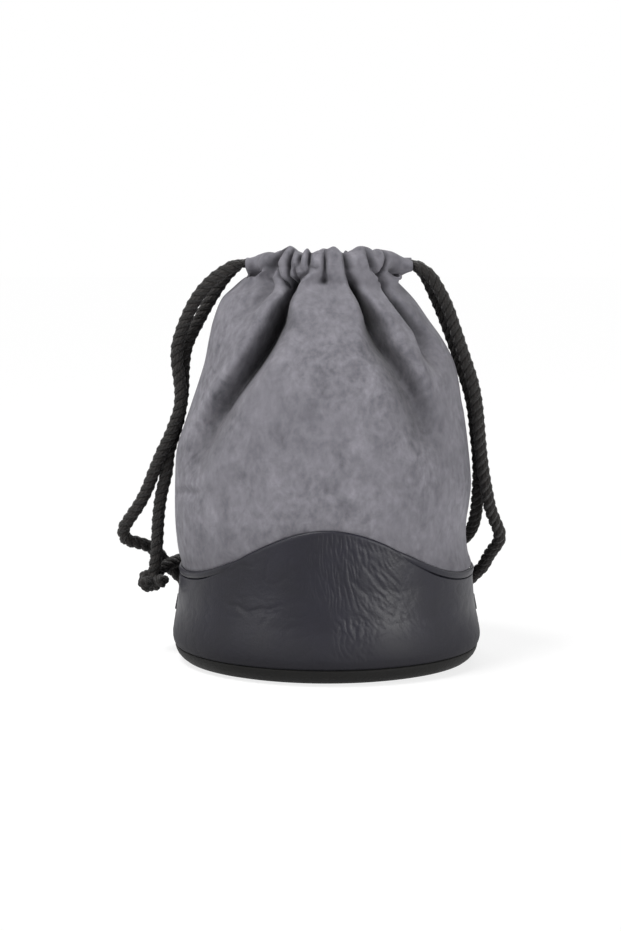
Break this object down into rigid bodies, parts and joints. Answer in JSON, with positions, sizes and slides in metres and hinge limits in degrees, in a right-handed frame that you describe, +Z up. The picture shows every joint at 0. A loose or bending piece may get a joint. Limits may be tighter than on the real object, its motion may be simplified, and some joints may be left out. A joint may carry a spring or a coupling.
{
  "type": "lens pouch",
  "caption": "Soft drawcord pouch for a camera lens: a stiff padded round cup with a wavy edge, a suede-like fabric upper and a twisted cord that gathers the mouth shut.",
  "frame": {"origin": "centre of the sole, on the surface that the pouch stands on", "axes": "+Z up through the mouth, the front faces -Y, +X to the right seen from the front"},
  "size_m": [0.1638, 0.13, 0.1734],
  "materials": {
    "suede": "soft brushed suede-like microfibre, mid grey",
    "cup_leatherette": "satin black wrinkled leatherette",
    "sole_leatherette": "dull black leatherette",
    "cord": "black three-strand twisted cord",
    "lining": "dark grey soft lining",
    "foam": "soft dark foam",
    "board": "raw fibre board"
  },
  "bodies": {
    "base": {"sole": "sole_leatherette", "base_cup": "cup_leatherette", "cup_edge_band": "cup_leatherette", "base_board": "board", "base_pad": "foam", "base_lining": "lining", "cup_foam": "foam", "cup_lining": "lining", "front_panel": "suede", "back_panel": "suede", "left_side_seam": "lining", "right_side_seam": "lining", "left_cord_tab": "cup_leatherette", "right_cord_tab": "cup_leatherette", "left_tab_turn": "cord", "right_tab_turn": "cord"},
    "mouth_front": {"front_shoulder": "suede", "front_channel": "suede", "front_cord_run": "cord"},
    "mouth_back": {"back_shoulder": "suede", "back_channel": "suede", "back_cord_run": "cord"},
    "left_cord": {"left_outer_strand": "cord", "left_inner_strand": "cord", "left_cord_tail": "cord", "cord_knot": "cord", "front_cord_end": "cord", "rear_cord_end": "cord"},
    "right_cord": {"right_outer_strand": "cord", "right_inner_strand": "cord"}
  },
  "joints": [
    {"name": "mouth_front_open", "type": "hinge", "parent": "base", "child": "mouth_front", "pos_m": [0, -0.0582, 0.105], "axis": [1, 0, 0], "range_deg": [0, 30]},
    {"name": "mouth_back_open", "type": "hinge", "parent": "base", "child": "mouth_back", "pos_m": [0, 0.0582, 0.105], "axis": [-1, 0, 0], "range_deg": [0, 30]},
    {"name": "left_cord_swing", "type": "hinge", "parent": "base", "child": "left_cord", "pos_m": [-0.0342, 0.0055, 0.167], "axis": [0.174, -0.1506, 0.9732], "range_deg": [-12, 0]},
    {"name": "right_cord_swing", "type": "hinge", "parent": "base", "child": "right_cord", "pos_m": [0.0362, 0.0055, 0.167], "axis": [-0.161, -0.151, 0.9753], "range_deg": [0, 12]}
  ],
  "couplings": [
    {"joint": "mouth_back_open", "follows": "mouth_front_open", "ratio": 1}
  ]
}
